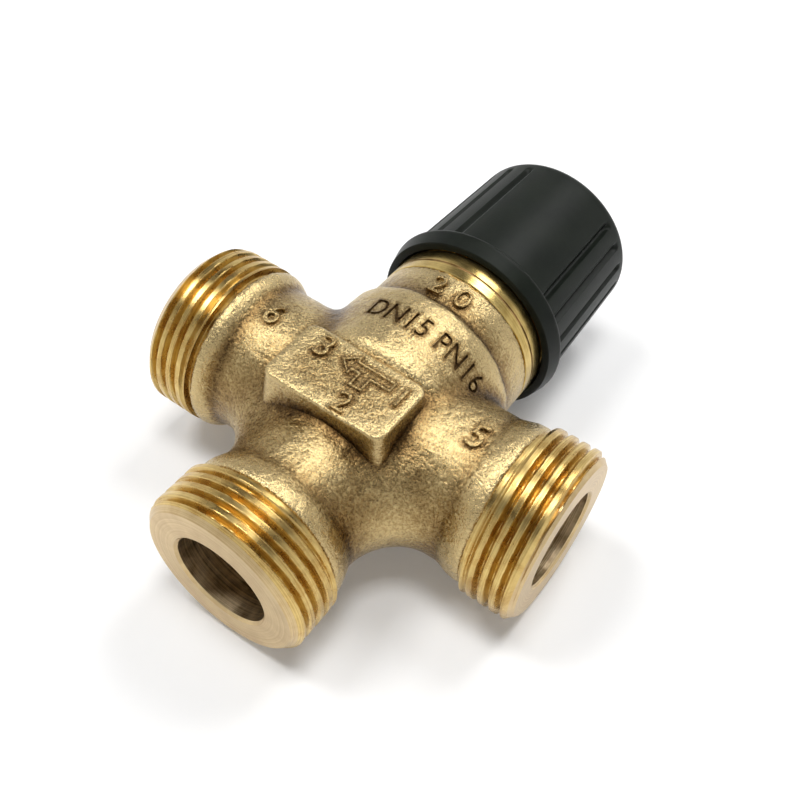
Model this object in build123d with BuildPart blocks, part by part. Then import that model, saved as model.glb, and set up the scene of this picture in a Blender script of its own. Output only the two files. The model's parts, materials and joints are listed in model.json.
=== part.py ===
from build123d import *
import os
from math import cos, radians, sin

# A small three-way seat valve with three G 3/4 ports in a T and a hand knob on its stem.
# The port axes cross at the origin. +X leads out of port A, -X out of port AB, -Y out of port B,
# +Y runs up the stem into the knob, and +Z points up through the cast pad, as the valve lies.
# All sizes are in millimetres. Heights are measured along the stem axis, from the port axes.

# The three threaded ports
port_reach = 32.5
port_b_reach = 33.0
thread_radius = 26.441 / 2
thread_length = 8.8
thread_chamfer = 1.2
thread_relief_width = 0.75
thread_relief_depth = 1.1
port_bore_radius = 7.4
bore_chamfer = 0.5
port_bore_depth = 15.5
shoulder_length = 2.0
neck_radius = 11.6
neck_b_radius = 11.3

# The cast barrel round the seats, and the neck that takes the bonnet
barrel_radius = 15.0
barrel_bottom = 1.6
barrel_flare = 3.4
barrel_top = 14.4
barrel_step = 0.9
neck_top = 20.8
neck_wall = 2.9
crotch_fillet = 3.0
barrel_fillet = 2.0

# The raised pad that carries the flow symbol
pad_height = 14.3
pad_width = 19.7
pad_depth = 11.3
pad_centre_x = -1.05
pad_centre_y = -5.35
pad_corner = 1.6
pad_draft = 3
pad_edge_fillet = 0.5

# The lift of the plug, and the screw that drives it
lift = 4.0
knob_pitch = 1.5

# The seats
seat_bore_radius = 5.0
seat_lip_width = 0.9
seat_lip_height = 0.4
seat_gap = 0.1
seat_web = 3.0
chamber_radius = 8.0
seat_ring_radius = 8.8
seat_ring_thickness = 3.0

# The plug
plug_top = 3.5
plug_disc_thickness = 2.6
plug_radius = 6.6
plug_hub_radius = 4.2
plug_rim_width = 0.35
seal_thickness = 1.2
seal_play = 0.05
clamp_radius = 4.8
stem_flange_thickness = 0.8
washer_thickness = 0.6
nut_height = 2.8
nut_across_flats = 7.0

# The stem
stem_radius = 2.5
stem_end_radius = 2.0
stem_end_length = 1.2
stem_point = 0.5
running_gap = 0.05
fit_gap = 0.02

# The passages cast between the ports and the seats
passage_width = 13.0
passage_height = 7.6
inlet_height = 7.0
inlet_overlap = 1.0
inlet_start_y = 1.5
inlet_end_x = 8.0
inlet_end_y = 11.8

# The bonnet
spigot_length = 8.2
collar_height = 4.8
collar_groove_height = 1.7
collar_groove_width = 0.4
collar_groove_depth = 0.35
collar_chamfer = 0.4
collar_land = 0.4
thread_top = 34.0
knob_thread_relief = 0.6
boss_radius = 7.6
boss_height = 4.0
gland_bore_radius = 4.05
bonnet_seal_width = 1.5
bonnet_seal_thickness = 0.8

# The stem seals and the gland
bush_length = 6.0
oring_section_radius = 0.72
oring_room = 1.7
spacer_length = 2.6
gland_flange_height = 2.5
gland_across_flats = 11.0
wiper_depth = 1.1
wiper_radius = 3.7

# The return spring and the cup on the stem's end
spring_wire_radius = 0.55
spring_radius = 8.75
spring_turns = 4.6
spring_length = 11.0
cup_thickness = 1.2
cup_rim = 0.1
cup_skirt_gap = 0.25
cup_skirt_wall = 0.9
cup_skirt_depth = 2.0
circlip_thickness = 0.6
circlip_radius = 3.9
circlip_groove_depth = 0.4
stem_crown = 1.4

# The hand knob, whose rim sets the neck, the bonnet and the thread inside it
knob_rim_radius = 16.0
knob_rim_lip = 0.85
knob_rim_height = 2.4
knob_rim_step = 0.5
knob_mouth = 25.0
knob_mouth_taper = 0.65
knob_skirt_taper = 0.8
knob_skirt_wall = 0.95
knob_end = 52.6
knob_edge = 1.5
knob_end_wall = 2.9
knob_thread_gap = 0.1
knob_counterbore_gap = 0.3
knob_counterbore_depth = 4.5
knob_thread_end = 42.0
knob_cavity_step = 1.2
knob_dish_land = 2.35
knob_dish_depth = 0.4
thrust_pad_radius = 4.0
thrust_pad_socket_wall = 1.2
grip_groups = 3
grip_grooves = 4
grip_groove_spacing = 14.5
grip_groove_radius = 0.6
grip_first_angle = 5.0
grip_end_margin = 2.0

# Radii that follow from the knob's rim inwards, and from the spring outwards
knob_mouth_radius = knob_rim_radius - knob_mouth_taper
knob_base_radius = knob_rim_radius - knob_rim_lip
knob_end_radius = knob_base_radius - knob_skirt_taper
knob_dish_radius = knob_end_radius - knob_edge - knob_dish_land
counterbore_radius = knob_base_radius - knob_skirt_wall
upper_neck_radius = counterbore_radius - knob_counterbore_gap
neck_bore_radius = upper_neck_radius - neck_wall
knob_thread_radius = upper_neck_radius - collar_land
knob_bore_radius = knob_thread_radius + knob_thread_gap
knob_cavity_radius = knob_bore_radius - knob_cavity_step
cup_radius = spring_radius + spring_wire_radius + cup_rim
cup_skirt_radius = spring_radius - spring_wire_radius - cup_skirt_gap

# Heights and places that follow from the sizes above
inlet_start_x = port_reach - port_bore_depth + inlet_overlap
port_neck_end = port_reach - thread_length - shoulder_length
port_thread_start = port_reach - thread_length
port_b_thread_start = -port_b_reach + thread_length
thread_relief_radius = thread_radius - thread_relief_depth
plug_bottom = plug_top - plug_disc_thickness - 2 * seal_thickness
seat_a_lip = plug_top + seat_gap
seat_ring_bottom = seat_a_lip + seat_lip_height
seat_ring_top = seat_ring_bottom + seat_ring_thickness
seat_b_lip = plug_bottom - lift - seat_gap
chamber_bottom = seat_b_lip - seat_lip_height
port_b_bore_top = chamber_bottom - seat_web
spigot_bottom = neck_top - spigot_length
collar_top = neck_top + collar_height
collar_groove_bottom = neck_top + collar_groove_height
boss_top = thread_top + boss_height
bush_top = spigot_bottom + bush_length
lower_oring_centre = bush_top + oring_room / 2
spacer_bottom = bush_top + oring_room
upper_oring_centre = spacer_bottom + spacer_length + oring_room / 2
gland_bottom = upper_oring_centre + oring_room / 2
gland_top = boss_top + gland_flange_height
cup_bottom = thread_top + spring_length
cup_top = cup_bottom + cup_thickness
groove_bottom = cup_top
groove_top = groove_bottom + circlip_thickness + 2 * running_gap
stem_top = groove_top + stem_crown
stem_foot = plug_bottom - washer_thickness - nut_height - stem_end_length
thrust_pad_bottom = stem_top + running_gap
knob_cavity_top = knob_end - knob_end_wall
seal_outer_radius = plug_radius - plug_rim_width - seal_play


def level(height):
    """The plane across the stem axis at a height, facing the knob."""
    return Plane(origin=(0, height, 0), x_dir=(1, 0, 0), z_dir=(0, 1, 0))


def export(piece, name):
    """Label a finished piece and write it under the name that it is known by."""
    piece.part.label = name
    export_step(piece.part, f"parts/{name}.step")


os.makedirs("parts", exist_ok=True)

# The body: one gunmetal casting, machined at its ports, seats and neck
with BuildPart() as valve_body:
    with BuildSketch(Plane.XY):
        with BuildLine():
            Polyline(
                (0, -port_b_reach),
                (thread_radius - thread_chamfer, -port_b_reach),
                (thread_radius, -port_b_reach + thread_chamfer),
                (thread_radius, port_b_thread_start - thread_relief_width),
                (thread_relief_radius, port_b_thread_start - thread_relief_width),
                (thread_relief_radius, port_b_thread_start),
                (thread_radius, port_b_thread_start),
                (neck_b_radius, port_b_thread_start + shoulder_length),
                (neck_b_radius, barrel_bottom - barrel_flare),
                (barrel_radius, barrel_bottom),
                (barrel_radius, barrel_top),
                (upper_neck_radius, barrel_top + barrel_step),
                (upper_neck_radius, neck_top),
                (0, neck_top),
                close=True,
            )
        make_face()
    revolve(axis=Axis.Y)
    for side in (1, -1):
        with BuildSketch(Plane.XY):
            with BuildLine():
                Polyline(
                    (0, 0),
                    (0, neck_radius),
                    (side * port_neck_end, neck_radius),
                    (side * port_thread_start, thread_radius),
                    (side * port_thread_start, thread_relief_radius),
                    (side * (port_thread_start + thread_relief_width), thread_relief_radius),
                    (side * (port_thread_start + thread_relief_width), thread_radius),
                    (side * (port_reach - thread_chamfer), thread_radius),
                    (side * port_reach, thread_radius - thread_chamfer),
                    (side * port_reach, 0),
                    close=True,
                )
            make_face()
        revolve(axis=Axis.X)
    with BuildSketch(Plane.XY.offset(pad_height)):
        with Locations((pad_centre_x, pad_centre_y)):
            RectangleRounded(pad_width, pad_depth, pad_corner)
    extrude(amount=-pad_height, taper=-pad_draft)

    # The cast necks run into each other and into the barrel in fillets
    cast_joins = valve_body.edges().filter_by(GeomType.BSPLINE)
    crotch = cast_joins.filter_by(
        lambda edge: edge.bounding_box().max.Y < 0 and edge.bounding_box().min.Z < -neck_b_radius / 2
    )
    fillet(crotch, radius=crotch_fillet)
    cast_joins = valve_body.edges().filter_by(GeomType.BSPLINE)
    barrel_joins = cast_joins.filter_by(lambda edge: edge.bounding_box().max.Y > barrel_top / 2)
    barrel_join_room = port_neck_end - barrel_radius
    fillet(barrel_joins, radius=min(barrel_fillet, barrel_join_room / 2))
    pad_face = valve_body.faces().filter_by(Axis.Z).sort_by(Axis.Z)[-1]
    fillet(pad_face.edges(), radius=pad_edge_fillet)

    # Everything bored about the stem axis, from port B up to the neck
    with BuildSketch(Plane.XY):
        with BuildLine():
            Polyline(
                (0, -port_b_reach),
                (port_bore_radius + bore_chamfer, -port_b_reach),
                (port_bore_radius, -port_b_reach + bore_chamfer),
                (port_bore_radius, port_b_bore_top),
                (seat_bore_radius, port_b_bore_top),
                (seat_bore_radius, seat_b_lip),
                (seat_bore_radius + seat_lip_width, seat_b_lip),
                (seat_bore_radius + seat_lip_width, chamber_bottom),
                (chamber_radius, chamber_bottom),
                (chamber_radius, seat_ring_bottom),
                (seat_ring_radius, seat_ring_bottom),
                (seat_ring_radius, seat_ring_top),
                (neck_bore_radius, seat_ring_top),
                (neck_bore_radius, neck_top - bonnet_seal_thickness),
                (neck_bore_radius + bonnet_seal_width, neck_top - bonnet_seal_thickness),
                (neck_bore_radius + bonnet_seal_width, neck_top),
                (0, neck_top),
                close=True,
            )
        make_face()
    revolve(axis=Axis.Y, mode=Mode.SUBTRACT)

    # The bored ports A and AB, with the edge of each mouth broken
    for side in (1, -1):
        with BuildSketch(Plane.XY):
            with BuildLine():
                Polyline(
                    (side * port_reach, 0),
                    (side * port_reach, port_bore_radius + bore_chamfer),
                    (side * (port_reach - bore_chamfer), port_bore_radius),
                    (side * (port_reach - port_bore_depth), port_bore_radius),
                    (side * (port_reach - port_bore_depth), 0),
                    close=True,
                )
            make_face()
        revolve(axis=Axis.X, mode=Mode.SUBTRACT)

    # Port AB's passage into the chamber between the seats
    chamber_middle = (chamber_bottom + seat_ring_bottom) / 2
    with BuildSketch(Plane.YZ.offset(-port_reach + port_bore_depth)):
        with Locations((chamber_middle, 0)):
            SlotOverall(passage_width, passage_height, rotation=90)
    extrude(amount=port_reach - port_bore_depth - chamber_radius / 2, mode=Mode.SUBTRACT)

    # Port A's passage, cast up over the partition to the chamber above seat A
    climb = Vector(inlet_end_x - inlet_start_x, inlet_end_y - inlet_start_y, 0)
    climb_plane = Plane(origin=(inlet_start_x, inlet_start_y, 0), x_dir=(0, 0, 1), z_dir=climb)
    with BuildSketch(climb_plane):
        SlotOverall(passage_width, inlet_height)
    extrude(amount=climb.length, mode=Mode.SUBTRACT)
export(valve_body, "valve_body")

# Seat A: a turned brass ring pressed into the body from above
with BuildPart() as seat_ring_a:
    with BuildSketch(Plane.XY):
        with BuildLine():
            Polyline(
                (seat_bore_radius, seat_a_lip),
                (seat_bore_radius + seat_lip_width, seat_a_lip),
                (seat_bore_radius + seat_lip_width, seat_ring_bottom),
                (seat_ring_radius - fit_gap, seat_ring_bottom),
                (seat_ring_radius - fit_gap, seat_ring_top),
                (seat_bore_radius, seat_ring_top),
                close=True,
            )
        make_face()
    revolve(axis=Axis.Y)
export(seat_ring_a, "seat_ring_a")

# The bonnet: turned brass, screwed into the neck, with the knob's thread on its outside
with BuildPart() as bonnet:
    with BuildSketch(Plane.XY):
        with BuildLine():
            Polyline(
                (gland_bore_radius, spigot_bottom),
                (neck_bore_radius - fit_gap, spigot_bottom),
                (neck_bore_radius - fit_gap, neck_top),
                (upper_neck_radius, neck_top),
                (upper_neck_radius, collar_groove_bottom),
                (upper_neck_radius - collar_groove_depth, collar_groove_bottom),
                (upper_neck_radius - collar_groove_depth, collar_groove_bottom + collar_groove_width),
                (upper_neck_radius, collar_groove_bottom + collar_groove_width),
                (upper_neck_radius, collar_top - collar_chamfer),
                (upper_neck_radius - collar_chamfer, collar_top),
                (knob_thread_radius - knob_thread_relief, collar_top),
                (knob_thread_radius - knob_thread_relief, collar_top + knob_pitch),
                (knob_thread_radius, collar_top + knob_pitch + knob_thread_relief),
                (knob_thread_radius, thread_top - knob_thread_relief),
                (knob_thread_radius - knob_thread_relief, thread_top),
                (boss_radius, thread_top),
                (boss_radius, boss_top),
                (gland_bore_radius, boss_top),
                close=True,
            )
        make_face()
    revolve(axis=Axis.Y)
export(bonnet, "bonnet")

# The flat seal under the bonnet's collar
with BuildPart() as bonnet_seal:
    with BuildSketch(level(neck_top - bonnet_seal_thickness)):
        Circle(neck_bore_radius + bonnet_seal_width - fit_gap)
        Circle(neck_bore_radius + fit_gap, mode=Mode.SUBTRACT)
    extrude(amount=bonnet_seal_thickness)
export(bonnet_seal, "bonnet_seal")

# The bush that guides the stem in the bonnet's foot
with BuildPart() as stem_guide_bush:
    with BuildSketch(level(spigot_bottom)):
        Circle(gland_bore_radius - fit_gap)
        Circle(stem_radius + running_gap, mode=Mode.SUBTRACT)
    extrude(amount=bush_length)
export(stem_guide_bush, "stem_guide_bush")

# The two rings that seal the stem, and the spacer between them
oring_radius = stem_radius + running_gap + oring_section_radius
with BuildPart() as lower_stem_oring:
    with BuildSketch(Plane.XY):
        with Locations((oring_radius, lower_oring_centre)):
            Circle(oring_section_radius)
    revolve(axis=Axis.Y)
export(lower_stem_oring, "lower_stem_oring")

with BuildPart() as upper_stem_oring:
    with BuildSketch(Plane.XY):
        with Locations((oring_radius, upper_oring_centre)):
            Circle(oring_section_radius)
    revolve(axis=Axis.Y)
export(upper_stem_oring, "upper_stem_oring")

with BuildPart() as seal_spacer:
    with BuildSketch(level(spacer_bottom)):
        Circle(gland_bore_radius - fit_gap)
        Circle(stem_radius + running_gap, mode=Mode.SUBTRACT)
    extrude(amount=spacer_length)
export(seal_spacer, "seal_spacer")

# The gland nut: its foot holds the seals down, and its hexagon sits on the bonnet's boss
with BuildPart() as gland_nut:
    with BuildSketch(level(gland_bottom)):
        Circle(gland_bore_radius - fit_gap)
    extrude(amount=boss_top - gland_bottom)
    with BuildSketch(level(boss_top)):
        RegularPolygon(gland_across_flats / 2, 6, major_radius=False)
    extrude(amount=gland_flange_height)
    with BuildSketch(level(gland_bottom)):
        Circle(stem_radius + running_gap)
    extrude(amount=gland_top - gland_bottom, mode=Mode.SUBTRACT)
    with BuildSketch(level(gland_top - wiper_depth)):
        Circle(wiper_radius)
    extrude(amount=wiper_depth, mode=Mode.SUBTRACT)
export(gland_nut, "gland_nut")

# The wiper that keeps dirt off the stem
with BuildPart() as wiper_ring:
    with BuildSketch(level(gland_top - wiper_depth)):
        Circle(wiper_radius - fit_gap)
        Circle(stem_radius + running_gap, mode=Mode.SUBTRACT)
    extrude(amount=wiper_depth)
export(wiper_ring, "wiper_ring")

# The stem: turned stainless steel, with a flange over the plug and a groove near its top
with BuildPart() as stem:
    with BuildSketch(Plane.XY):
        with BuildLine():
            Polyline(
                (0, stem_foot),
                (stem_end_radius - stem_point, stem_foot),
                (stem_end_radius, stem_foot + stem_point),
                (stem_end_radius, plug_top),
                (clamp_radius, plug_top),
                (clamp_radius, plug_top + stem_flange_thickness),
                (stem_radius, plug_top + stem_flange_thickness),
                (stem_radius, groove_bottom),
                (stem_radius - circlip_groove_depth, groove_bottom),
                (stem_radius - circlip_groove_depth, groove_top),
                (stem_radius, groove_top),
                (stem_radius, stem_top - stem_point),
                (stem_radius - stem_point, stem_top),
                (0, stem_top),
                close=True,
            )
        make_face()
    revolve(axis=Axis.Y)
export(stem, "stem")

# The plug: a brass disc with a seal let into each face
disc_top = plug_top - seal_thickness
disc_bottom = plug_bottom + seal_thickness
with BuildPart() as plug_carrier:
    with BuildSketch(Plane.XY):
        with BuildLine():
            Polyline(
                (stem_end_radius + fit_gap, plug_bottom),
                (plug_hub_radius, plug_bottom),
                (plug_hub_radius, disc_bottom),
                (plug_radius - plug_rim_width, disc_bottom),
                (plug_radius - plug_rim_width, disc_bottom - seal_thickness / 2),
                (plug_radius, disc_bottom - seal_thickness / 2),
                (plug_radius, disc_top + seal_thickness / 2),
                (plug_radius - plug_rim_width, disc_top + seal_thickness / 2),
                (plug_radius - plug_rim_width, disc_top),
                (plug_hub_radius, disc_top),
                (plug_hub_radius, plug_top),
                (stem_end_radius + fit_gap, plug_top),
                close=True,
            )
        make_face()
    revolve(axis=Axis.Y)
export(plug_carrier, "plug_carrier")

with BuildPart() as upper_plug_seal:
    with BuildSketch(level(disc_top)):
        Circle(seal_outer_radius)
        Circle(plug_hub_radius + seal_play, mode=Mode.SUBTRACT)
    extrude(amount=seal_thickness)
export(upper_plug_seal, "upper_plug_seal")

with BuildPart() as lower_plug_seal:
    with BuildSketch(level(plug_bottom)):
        Circle(seal_outer_radius)
        Circle(plug_hub_radius + seal_play, mode=Mode.SUBTRACT)
    extrude(amount=seal_thickness)
export(lower_plug_seal, "lower_plug_seal")

# The washer and nut that clamp the plug and its lower seal to the stem
with BuildPart() as plug_washer:
    with BuildSketch(level(plug_bottom - washer_thickness)):
        Circle(clamp_radius)
        Circle(stem_end_radius + fit_gap, mode=Mode.SUBTRACT)
    extrude(amount=washer_thickness)
export(plug_washer, "plug_washer")

with BuildPart() as plug_nut:
    with BuildSketch(level(plug_bottom - washer_thickness - nut_height)):
        RegularPolygon(nut_across_flats / 2, 6, major_radius=False)
        Circle(stem_end_radius + fit_gap, mode=Mode.SUBTRACT)
    extrude(amount=nut_height)
export(plug_nut, "plug_nut")

# The return spring: a helix with its two ends ground flat on the bonnet and the cup
with BuildPart() as return_spring:
    with BuildLine():
        coil = Helix(
            pitch=(spring_length - 2 * spring_wire_radius) / spring_turns,
            height=spring_length - 2 * spring_wire_radius,
            radius=spring_radius,
            center=(0, thread_top + spring_wire_radius, 0),
            direction=(0, 1, 0),
        )
    with BuildSketch(Plane(origin=coil @ 0, z_dir=coil % 0)):
        Circle(spring_wire_radius)
    sweep(path=coil, is_frenet=True)
export(return_spring, "return_spring")

# The pressed cup on the stem that the spring lifts
with BuildPart() as spring_cup:
    with BuildSketch(level(cup_bottom)):
        Circle(cup_radius)
    extrude(amount=cup_thickness)
    with BuildSketch(level(cup_bottom)):
        Circle(cup_skirt_radius)
        Circle(cup_skirt_radius - cup_skirt_wall, mode=Mode.SUBTRACT)
    extrude(amount=-cup_skirt_depth)
    with BuildSketch(level(cup_bottom)):
        Circle(stem_radius + fit_gap)
    extrude(amount=cup_thickness, mode=Mode.SUBTRACT)
export(spring_cup, "spring_cup")

# The circlip over the cup: an open ring with its gap to the side
with BuildPart() as stem_circlip:
    with BuildSketch(level(groove_bottom + running_gap)):
        Circle(circlip_radius)
        Circle(stem_radius - circlip_groove_depth + fit_gap, mode=Mode.SUBTRACT)
        with Locations((circlip_radius, 0)):
            Rectangle(circlip_radius, stem_radius, mode=Mode.SUBTRACT)
    extrude(amount=circlip_thickness)
export(stem_circlip, "stem_circlip")

# The thrust pad in the knob's end, which bears on the stem
with BuildPart() as thrust_pad:
    with BuildSketch(level(thrust_pad_bottom)):
        Circle(thrust_pad_radius)
    extrude(amount=knob_cavity_top - thrust_pad_bottom)
export(thrust_pad, "thrust_pad")

# The hand knob: moulded black plastic, a rimmed skirt with groups of grip grooves
rim_top = knob_mouth + knob_rim_height
with BuildPart() as adjusting_knob:
    with BuildSketch(Plane.XY):
        with BuildLine():
            Polyline(
                (0, knob_end),
                (0, knob_mouth),
                (knob_mouth_radius, knob_mouth),
                (knob_rim_radius, rim_top),
                (knob_rim_radius, rim_top + knob_rim_step),
                (knob_base_radius, rim_top + 2 * knob_rim_step),
                (knob_end_radius, knob_end - knob_edge),
            )
            RadiusArc(
                (knob_end_radius, knob_end - knob_edge),
                (knob_end_radius - knob_edge, knob_end),
                -knob_edge,
            )
            Line((knob_end_radius - knob_edge, knob_end), (0, knob_end))
        make_face()
    revolve(axis=Axis.Y)
    with BuildSketch(Plane.XY):
        with BuildLine():
            Polyline(
                (0, knob_mouth),
                (counterbore_radius, knob_mouth),
                (counterbore_radius, knob_mouth + knob_counterbore_depth),
                (knob_bore_radius, knob_mouth + knob_counterbore_depth + knob_rim_step),
                (knob_bore_radius, knob_thread_end),
                (knob_cavity_radius, knob_thread_end + knob_pitch),
                (knob_cavity_radius, knob_cavity_top),
                (0, knob_cavity_top),
                close=True,
            )
        make_face()
    revolve(axis=Axis.Y, mode=Mode.SUBTRACT)
    with BuildSketch(level(knob_cavity_top)):
        Circle(thrust_pad_radius + thrust_pad_socket_wall)
        Circle(thrust_pad_radius + fit_gap, mode=Mode.SUBTRACT)
    extrude(amount=(thrust_pad_bottom - knob_cavity_top) / 2)
    with BuildSketch(level(knob_end)):
        Circle(knob_dish_radius)
    extrude(amount=-knob_dish_depth, mode=Mode.SUBTRACT)

    # The grip grooves lie in groups, each groove tapering with the skirt
    skirt_length = knob_end - grip_end_margin - rim_top - 2 * knob_rim_step
    lean = (knob_base_radius - knob_end_radius) / (knob_end - knob_edge - rim_top - 2 * knob_rim_step)
    for group in range(grip_groups):
        for groove in range(grip_grooves):
            turn = grip_first_angle + group * 360 / grip_groups
            turn += (groove - (grip_grooves - 1) / 2) * grip_groove_spacing
            outward = Vector(cos(radians(turn)), 0, sin(radians(turn)))
            start = outward * knob_base_radius + Vector(0, rim_top + 2 * knob_rim_step, 0)
            along = Vector(0, 1, 0) - outward * lean
            with BuildSketch(Plane(origin=start, x_dir=outward, z_dir=along)):
                Circle(grip_groove_radius)
            extrude(amount=skirt_length, mode=Mode.SUBTRACT)
export(adjusting_knob, "adjusting_knob")
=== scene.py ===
import json
import math

import bmesh
import bpy
import numpy as np
from mathutils import Matrix, Vector, noise
from mathutils.kdtree import KDTree


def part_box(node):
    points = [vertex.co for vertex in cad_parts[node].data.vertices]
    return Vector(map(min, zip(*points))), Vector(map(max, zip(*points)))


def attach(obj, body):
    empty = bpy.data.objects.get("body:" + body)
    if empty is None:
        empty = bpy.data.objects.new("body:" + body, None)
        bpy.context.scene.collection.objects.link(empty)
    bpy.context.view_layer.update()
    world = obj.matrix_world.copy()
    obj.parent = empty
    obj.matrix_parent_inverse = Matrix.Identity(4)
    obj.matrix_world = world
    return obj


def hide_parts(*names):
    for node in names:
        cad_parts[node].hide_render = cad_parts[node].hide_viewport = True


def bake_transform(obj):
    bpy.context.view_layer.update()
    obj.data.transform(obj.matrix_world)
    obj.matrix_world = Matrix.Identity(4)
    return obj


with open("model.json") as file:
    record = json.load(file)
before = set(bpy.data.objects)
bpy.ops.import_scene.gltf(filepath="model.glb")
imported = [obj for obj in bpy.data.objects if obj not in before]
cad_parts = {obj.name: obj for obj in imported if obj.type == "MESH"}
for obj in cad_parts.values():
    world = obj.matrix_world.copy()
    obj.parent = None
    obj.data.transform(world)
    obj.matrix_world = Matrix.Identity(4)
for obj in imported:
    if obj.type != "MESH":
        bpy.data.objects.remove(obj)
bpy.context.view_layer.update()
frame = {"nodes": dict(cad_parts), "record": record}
MM = 0.001

# The casting
# One sand-cast gunmetal body: three necks in a T, the barrel round the seats, and the neck that
# takes the bonnet. Its cast skin is grainy, with soft joins where the necks run together.
body_low, body_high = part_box("valve_body")
port_reach = body_high.x
port_b_reach = -body_low.y
neck_top = body_high.y
barrel_radius = body_high.z
neck_radius = 11.6 * MM
neck_b_radius = 11.3 * MM
upper_neck_radius = 13.9 * MM
thread_length = 8.8 * MM
crotch_fillet = 9.0 * MM
soft_voxel = 0.8 * MM
skin_voxel = 0.37 * MM
pad_voxel = 0.3 * MM
barrel_step_at = 14.4 * MM
barrel_start = 1.6 * MM
pad_size = Vector((19.7, 11.3, 14.3)) * MM
pad_centre = Vector((-1.05, -5.35, 0)) * MM
pad_corner = 1.6 * MM


def place_mesh(name, vertices, faces, matrix=Matrix.Identity(4)):
    """A new object at the origin, with its place in its mesh."""
    mesh = bpy.data.meshes.new(name)
    mesh.from_pydata([tuple(matrix @ Vector(v)) for v in vertices], [], faces)
    mesh.validate()
    piece = bpy.data.objects.new(name, mesh)
    bpy.context.scene.collection.objects.link(piece)
    return piece


def along(direction):
    """The turn that stands a form made about +Z on another direction."""
    return Vector((0, 0, 1)).rotation_difference(Vector(direction)).to_matrix().to_4x4()


def turned(name, outline, direction, segments=96, ring=False):
    """A turned form from (radius, height) points: a solid from axis to axis, or a closed ring."""
    vertices, faces, rows = [], [], []
    for radius, height in outline:
        if radius < 1e-9:
            rows.append([len(vertices)])
            vertices.append((0, 0, height))
            continue
        rows.append(range(len(vertices), len(vertices) + segments))
        for step in range(segments):
            angle = 2 * math.pi * step / segments
            vertices.append((radius * math.cos(angle), radius * math.sin(angle), height))
    for here, there in zip(rows, rows[1:] + rows[:1] if ring else rows[1:]):
        for step in range(segments):
            after = (step + 1) % segments
            corners = [here[step % len(here)], here[after % len(here)]]
            corners += [there[after % len(there)], there[step % len(there)]]
            faces.append(list(dict.fromkeys(corners)))
    return place_mesh(name, vertices, faces, along(direction))


def block(name, centre, size, corner, draft=0.0):
    """A drafted block with round corners, from z = 0 up to its height."""
    outline = []
    for quarter in range(4):
        middle = Vector((1, 1)) if quarter == 0 else Vector(((-1, 1), (-1, -1), (1, -1))[quarter - 1])
        for step in range(7):
            angle = math.radians(90 * quarter + 15 * step)
            x = middle.x * (size.x / 2 - corner) + corner * math.cos(angle)
            y = middle.y * (size.y / 2 - corner) + corner * math.sin(angle)
            outline.append((x, y))
    count = len(outline)
    grow = 1 + 2 * draft * size.z / size.y
    vertices = [(centre.x + x * grow, centre.y + y * grow, 0) for x, y in outline]
    vertices += [(centre.x + x, centre.y + y, size.z) for x, y in outline]
    faces = [list(range(count - 1, -1, -1)), list(range(count, 2 * count))]
    for step in range(count):
        after = (step + 1) % count
        faces.append([step, after, after + count, step + count])
    return place_mesh(name, vertices, faces)


def joined(name, pieces):
    """One mesh from several overlapping forms."""
    shape = bmesh.new()
    for piece in pieces:
        shape.from_mesh(piece.data)
        bpy.data.objects.remove(piece)
    mesh = bpy.data.meshes.new(name)
    shape.to_mesh(mesh)
    shape.free()
    whole = bpy.data.objects.new(name, mesh)
    bpy.context.scene.collection.objects.link(whole)
    return whole


def made_plain(piece):
    """Turns a piece's modifiers into its own plain mesh."""
    depsgraph = bpy.context.evaluated_depsgraph_get()
    mesh = bpy.data.meshes.new_from_object(piece.evaluated_get(depsgraph))
    piece.modifiers.clear()
    piece.data = mesh
    return piece


def cast_together(piece, voxel, rounds):
    """Melts overlapping forms into one skin, and softens its edges as sand and metal do."""
    melt = piece.modifiers.new("melt", "REMESH")
    melt.mode = "VOXEL"
    melt.voxel_size = voxel
    soften = piece.modifiers.new("soften", "SMOOTH")
    soften.factor = 0.5
    soften.iterations = rounds
    return made_plain(piece)


def neck_form(direction, radius, reach):
    """A plain neck from the middle of the body to just behind a port's face."""
    outline = [(0, 0), (radius, 0), (radius, reach - 1.2 * MM), (0, reach - 1.2 * MM)]
    return turned("neck", outline, direction)


def shoulder_form(direction, radius, reach, top, length):
    """The cast shoulder that stands behind a port's thread, and sinks into the neck behind it."""
    end = reach - thread_length - 0.05 * MM
    foot = radius - 0.3 * MM
    outline = [(0, end - length), (foot, end - length)]
    for step in range(1, 12):
        share = step / 12
        rise = share * share * (3 - 2 * share)
        outline.append((foot + (top - foot) * rise, end - length * (1 - 0.85 * share)))
    outline += [(top, end - 0.1 * length), (top, end), (0, end)]
    return turned("shoulder", outline, direction)


def crotch_form(side):
    """The metal that fills the corner between port B's neck and a neck at its side."""
    vertices, faces = [], []
    levels, steps = 15, 8
    for level in range(levels):
        height = neck_b_radius * 0.94 * (2 * level / (levels - 1) - 1)
        flank = math.sqrt(neck_b_radius ** 2 - height ** 2)
        far = flank + crotch_fillet
        outline = [(0, 0), (far, 0)]
        for step in range(steps + 1):
            angle = math.radians(90 + 90 * step / steps)
            outline.append((far + crotch_fillet * math.cos(angle), -far + crotch_fillet * math.sin(angle)))
        outline.append((0, -far))
        vertices += [(side * x, y, height) for x, y in outline]
    count = len(outline)
    for level in range(levels - 1):
        for step in range(count):
            after = (step + 1) % count
            low, high = level * count, (level + 1) * count
            faces.append([low + step, low + after, high + after, high + step][::int(-side)])
    faces.append(list(range(count))[::int(side)])
    faces.append(list(range((levels - 1) * count, levels * count))[::int(-side)])
    return place_mesh("crotch", vertices, faces)


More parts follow.
